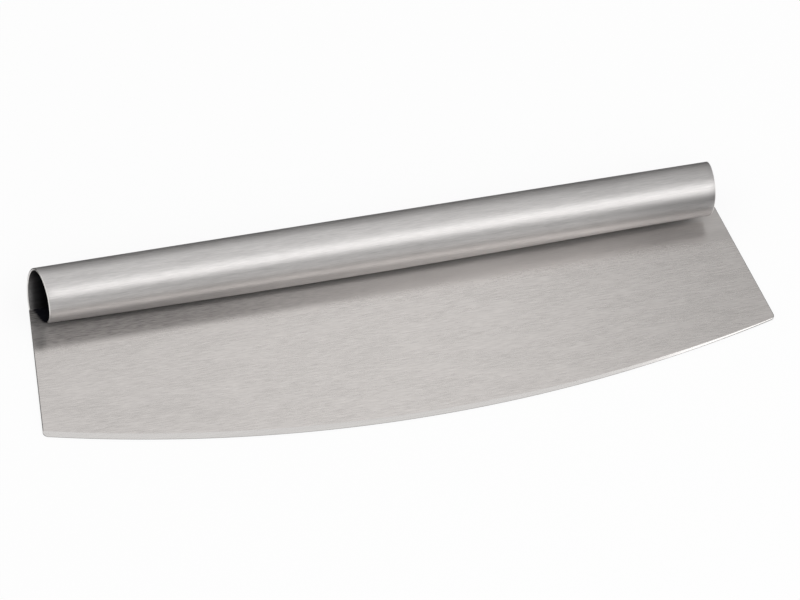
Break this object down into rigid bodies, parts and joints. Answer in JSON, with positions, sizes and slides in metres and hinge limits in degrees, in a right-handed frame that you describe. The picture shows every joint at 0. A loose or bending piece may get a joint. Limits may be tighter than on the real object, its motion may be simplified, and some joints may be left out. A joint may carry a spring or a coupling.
{
  "type": "rocking pizza knife",
  "caption": "Rocking pizza knife: a long flared steel blade with a curved cutting edge, its top edge rolled over into an open tubular handle.",
  "frame": {"origin": "on the surface the knife lies on, under the middle of its bounding box", "axes": "+X along the handle, +Y from the cutting edge towards the handle, +Z out of the blade's front face, the side the handle bulges to"},
  "size_m": [0.3494, 0.1014, 0.025],
  "materials": {
    "blade_steel": "fine brushing along the blade, bright ground cutting edge",
    "handle_steel": "fine satin brushing along the handle"
  },
  "bodies": {
    "root": {"blade": "blade_steel", "rolled_handle": "handle_steel"}
  },
  "joints": []
}
